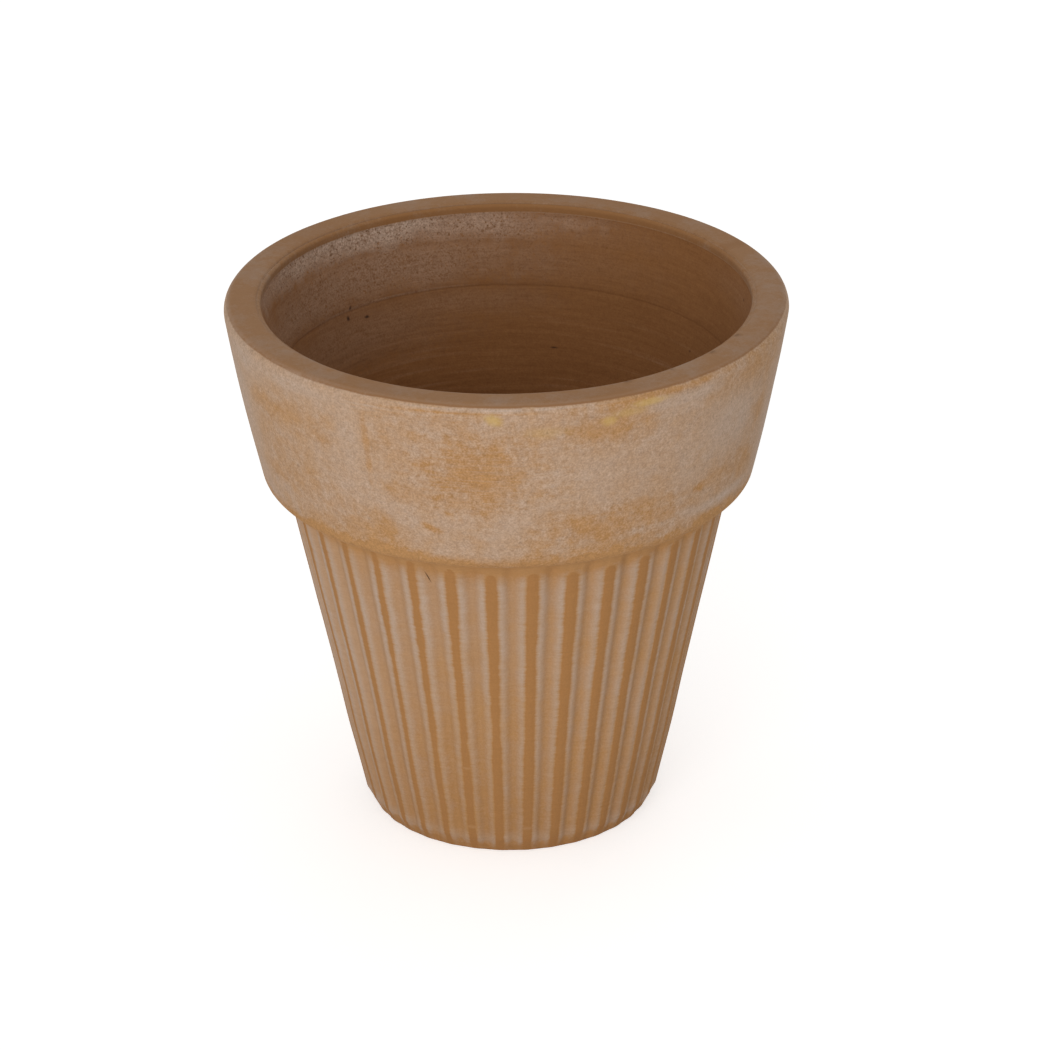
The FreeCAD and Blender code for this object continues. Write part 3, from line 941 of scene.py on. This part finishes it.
def rim_material(finish):
    """Rim band: a brushed wash over bare clay, a smooth lip, a bare bead, and the mouth's inside."""
    clay = Clay("washed_rim")
    graph, place, blend = clay.graph, clay.place, clay.blend
    height = place["Height"]
    brushed = 0.2 + clay.patches(BRUSHED_PATCHES) * 0.7
    veil = 0.52 + blend(cloud=0.6, blotch=0.65, mottle=0.35, grain=0.4, streak=brushed)
    # The far-side washed patches paint a pale sheen along the rim's outline
    veil = veil + clay.patches(WASH_AND_SHEEN_PATCHES) * 0.36 - clay.patches(BARE_PATCHES) * 0.42
    crease = 1 - graph.ramp(height + blend(cloud=8 * MM, blotch=4 * MM), *RIM_CREASE)
    face = graph.mix(graph.clamp(veil - crease * 0.55), clay.body(finish), finish.wash)
    pits = graph.ramp(graph.noise(place["Object"], 560.0, 1.0), 0.15, 0.23)
    face = graph.shade(face, 1 + blend(grain=0.78, mottle=0.32) - pits * 0.13)
    face = graph.mix(clay.patches(YELLOW_STAINS, ragged=0.6) * 0.7, face, finish.stain)
    lip_tint = lip_colour(clay, finish)
    on_lip = graph.ramp(height + blend(cloud=1.0 * MM, blotch=0.8 * MM), *LIP_LIMIT)
    tint = graph.mix(clay.trait("lip") * on_lip, face, lip_tint)
    bead = graph.mix(clay.patches(BARE_BEAD), graph.shade(lip_tint, 0.96), finish.bead)
    bead = graph.shade(bead, 1 + blend(grain=0.15, mottle=0.1))
    tint = graph.mix(clay.trait("bead"), tint, bead)
    nicks = clay.trait("mouth") * clay.patches(INNER_NICKS, ragged=0.6)
    tint = graph.mix(nicks, tint, finish.dirt_and_shade)
    # Painted shade: a thin dark line in the groove between the lip and the bead, at the back and left
    groove = clay.trait("groove") * clay.patches(DARK_GROOVE) * 0.3
    tint = graph.mix(groove, tint, finish.dirt_and_shade)
    tint = graph.mix(clay.trait("inner"), tint, inside_colour(clay, finish))
    return clay.coated(finish, tint, blend(grain=0.6, streak=0.4, blotch=0.4), 0.25 * MM)


def fluted_material(sizes, finish):
    """Wall and foot: wiped crests between lines of wash, tan flutes, and smooth clay inside."""
    clay = Clay("fluted_wash")
    graph, place, blend = clay.graph, clay.place, clay.blend
    height = place["Height"]
    upper = graph.ramp(height, *UPPER_WALL)
    lower = 1 - graph.ramp(height, *LOWER_WALL)
    crease = graph.ramp(height + blend(cloud=8 * MM), *WALL_CREASE)
    uneven = height + blend(blotch=8 * MM, mottle=4 * MM)

    # Distance from a ridge's crest, in flutes: it grows past the strip's end and is ragged
    end = STRIP_END + graph.noise(place["Round"], 5.0, 1.0) * (8 * MM)
    end = end + clay.patches(LONG_STRIPS) * (6 * MM)
    above_end = graph.math("MAXIMUM", height - end, 0.0) / STRIP_PITCH
    from_crest = clay.trait("from_crest")
    away = graph.math("SQRT", from_crest * from_crest + above_end * above_end)
    away = away + graph.noise(place["Object"], 45.0, 3.0, 0.6) * 0.1 + blend(streak=0.07, mottle=0.04)
    away = away + graph.noise(place["Round"], 4.5, 1.0) * 0.09
    away = away + clay.patches(NARROW_STRIPS) * 0.075 - lower * 0.02

    # Wiped strips, and the lines of wash beside them
    edge = sizes.wiped_share / 2
    whole = 1 - clay.patches(STRIP_BREAKS, ragged=0.3)
    wiped = (1 - graph.ramp(away, edge - 0.025, edge + 0.03)) * whole
    wiped = graph.math("MAXIMUM", wiped, (1 - graph.ramp(uneven, *STANDING_EDGE)) * 0.6)
    line = graph.band(away, (edge, edge + 0.09), (edge + 0.1, edge + 0.31))
    line = line * (0.5 + upper * 0.5) * (1 - crease) * (1 + blend(cloud=1.0, streak=0.5))

    veil = 0.03 + blend(cloud=0.45, blotch=0.45, mottle=0.15, grain=0.25, streak=0.2)
    veil = veil + upper * 0.14 + clay.patches(WASHED_FLUTES)
    veil = veil + line * 0.41 + graph.band(uneven, *FOOT_WASH) * 0.3 - crease * 0.4
    flute = graph.mix(graph.clamp(veil), clay.body(finish), finish.wash)
    crest = graph.mix(graph.clamp(0.4 + blend(blotch=1.0)), finish.crest, finish.clay_dark)
    outside = graph.mix(wiped * clay.trait("fluted"), flute, crest)
    # Painted shade: the outside is darkened towards the foot, where the wall faces slightly down
    outside = graph.shade(outside, 0.985 + blend(grain=0.24, streak=0.12) - lower * 0.07)
    outside = graph.mix(clay.patches(SCRATCHES, ragged=0.3), outside, finish.dirt_and_shade)
    tint = graph.mix(clay.trait("inner"), outside, inside_colour(clay, finish))
    return clay.coated(finish, tint, blend(grain=0.4, blotch=0.4, streak=0.4), 0.2 * MM)


def fluted_clay(pot):
    """The wall's material, which the floor slab shares."""
    return bpy.data.materials.get("fluted_wash") or fluted_material(pot.sizes, pot.finish)


# Operators and panel


class POT_OT_rim_band(bpy.types.Operator):
    """Turn the thick washed rim band with its lip, bead and inside"""

    bl_idname = "flower_pot.rim_band"
    bl_label = "Rim band"

    def execute(self, context):
        pot = context.scene.flower_pot
        turn_section(context, "pot_rim", rim_outline(pot.sizes), "rim_band", rim_material(pot.finish))
        return {"FINISHED"}


class POT_OT_fluted_wall(bpy.types.Operator):
    """Turn the tapered wall and hollow its flutes"""

    bl_idname = "flower_pot.fluted_wall"
    bl_label = "Fluted wall"

    def execute(self, context):
        pot = context.scene.flower_pot
        turn_section(context, "pot_wall", wall_outline(pot.sizes), "fluted_wall", fluted_clay(pot))
        return {"FINISHED"}


class POT_OT_base_floor(bpy.types.Operator):
    """Turn the floor slab with the foot of the flutes and the drain hole"""

    bl_idname = "flower_pot.base_floor"
    bl_label = "Base floor"

    def execute(self, context):
        pot = context.scene.flower_pot
        turn_section(context, "pot_base", base_outline(pot.sizes), "base_floor", fluted_clay(pot))
        return {"FINISHED"}


class POT_OT_stage(bpy.types.Operator):
    """Set up the floor, the soft lights and the camera"""

    bl_idname = "flower_pot.stage"
    bl_label = "Stage"

    def execute(self, context):
        stage = context.scene.flower_pot.stage
        add_camera(context, stage)
        add_world(context, stage)
        add_floor(context, stage)
        add_soft_light(context, "key_light", stage.key, azimuth=-106, elevation=14, side=2.2)
        add_soft_light(context, "fill_light", stage.fill, azimuth=75, elevation=20, side=2.4)
        context.scene.view_settings.view_transform = "Standard"
        return {"FINISHED"}


def direction(azimuth, elevation):
    """The way from the pot towards a camera or a light."""
    level = math.cos(elevation)
    return Vector((level * math.cos(azimuth), level * math.sin(azimuth), math.sin(elevation)))


def looking(forward, roll=0.0):
    """Rotation of a camera or a light that looks along a direction, with the roll of its upright."""
    right = forward.cross(Vector((0, 0, 1))).normalized()
    up = right.cross(forward)
    rolled_right = math.cos(roll) * right + math.sin(roll) * up
    rolled_up = math.cos(roll) * up - math.sin(roll) * right
    return Matrix((rolled_right, rolled_up, -forward)).transposed().to_4x4()


def add_camera(context, stage):
    """The camera at the photograph's viewing angle."""
    away = direction(stage.azimuth, stage.elevation)
    across = direction(stage.azimuth + math.pi / 2, 0.0)
    target = across * stage.target_across + Vector((0, 0, stage.target_height))
    data = bpy.data.cameras.new("photo_camera")
    data.sensor_width = 36
    data.lens = stage.lens
    camera = bpy.data.objects.new("photo_camera", data)
    camera.matrix_world = Matrix.Translation(target + away * stage.distance) @ looking(-away, stage.roll)
    context.scene.collection.objects.link(camera)
    context.scene.camera = camera


def seen_directly(graph):
    """1 for what the camera sees, straight or through gloss and glass, and 0 for light on the pot."""
    path = graph.add("ShaderNodeLightPath").outputs
    seen = graph.math("MAXIMUM", path["Is Camera Ray"], path["Is Glossy Ray"])
    return graph.math("MAXIMUM", seen, path["Is Transmission Ray"])


def add_world(context, stage):
    """Even light from all round, which is white where it is seen."""
    world = bpy.data.worlds.new("soft_surround")
    world.use_nodes = True
    world.node_tree.nodes.clear()
    graph = Graph(world.node_tree)
    seen = seen_directly(graph)
    level = seen + (1 - seen) * stage.surround
    background = graph.add("ShaderNodeBackground", {"Color": WHITE, "Strength": level})
    output = graph.add("ShaderNodeOutputWorld")
    graph.feed(output.inputs["Surface"], background.outputs[0])
    context.scene.world = world


def add_floor(context, stage):
    """A white floor that keeps a soft shadow, and throws only a little light back at the pot."""
    side = 6.0
    mesh = bpy.data.meshes.new("floor")
    corners = [(-side, -side, 0), (side, -side, 0), (side, side, 0), (-side, side, 0)]
    mesh.from_pydata(corners, [], [(0, 1, 2, 3)])
    floor = bpy.data.objects.new("floor", mesh)
    context.scene.collection.objects.link(floor)
    material = bpy.data.materials.new("pale_floor")
    material.use_nodes = True
    material.node_tree.nodes.clear()
    graph = Graph(material.node_tree)
    dull = graph.add("ShaderNodeBsdfDiffuse", {"Color": (0.8, 0.79, 0.78, 1)})
    pale = graph.add("ShaderNodeEmission", {"Color": WHITE, "Strength": stage.floor_glow})
    both = graph.add("ShaderNodeAddShader", {0: dull.outputs[0], 1: pale.outputs[0]})
    seen = seen_directly(graph)
    choice = graph.add("ShaderNodeMixShader", {0: seen, 1: dull.outputs[0], 2: both.outputs[0]})
    output = graph.add("ShaderNodeOutputMaterial")
    graph.feed(output.inputs["Surface"], choice.outputs[0])
    mesh.materials.append(material)


def add_soft_light(context, name, level, azimuth, elevation, side):
    """A square light that gives a surface facing it this share of white."""
    distance = 3.2
    away = direction(math.radians(azimuth), math.radians(elevation))
    data = bpy.data.lights.new(name, "AREA")
    data.size = side
    data.energy = level * (math.pi * distance) ** 2
    light = bpy.data.objects.new(name, data)
    middle = Vector((0, 0, LIP_TOP / 2))
    light.matrix_world = Matrix.Translation(middle + away * distance) @ looking(-away)
    context.scene.collection.objects.link(light)


class POT_PT_panel(bpy.types.Panel):
    """Sizes, colours and steps of the flower pot"""

    bl_idname = "POT_PT_panel"
    bl_label = "Flower pot"
    bl_space_type = "VIEW_3D"
    bl_region_type = "UI"
    bl_category = "Flower pot"

    def draw(self, context):
        pot = context.scene.flower_pot
        for step in STEPS:
            self.layout.operator(step.bl_idname)
        for title, group in (("Sizes", pot.sizes), ("Finish", pot.finish), ("Stage", pot.stage)):
            box = self.layout.box()
            box.label(text=title)
            for name in group.__annotations__:
                box.prop(group, name)


STEPS = (POT_OT_base_floor, POT_OT_fluted_wall, POT_OT_rim_band, POT_OT_stage)
CLASSES = (PotSizes, PotFinish, PotStage, FlowerPot, *STEPS, POT_PT_panel)


def register():
    for item in CLASSES:
        bpy.utils.register_class(item)
    bpy.types.Scene.flower_pot = bpy.props.PointerProperty(type=FlowerPot)


def unregister():
    del bpy.types.Scene.flower_pot
    for item in reversed(CLASSES):
        bpy.utils.unregister_class(item)


def main():
    register()
    bpy.ops.flower_pot.base_floor()
    bpy.ops.flower_pot.fluted_wall()
    bpy.ops.flower_pot.rim_band()
    bpy.ops.flower_pot.stage()


if __name__ == "__main__":
    main()
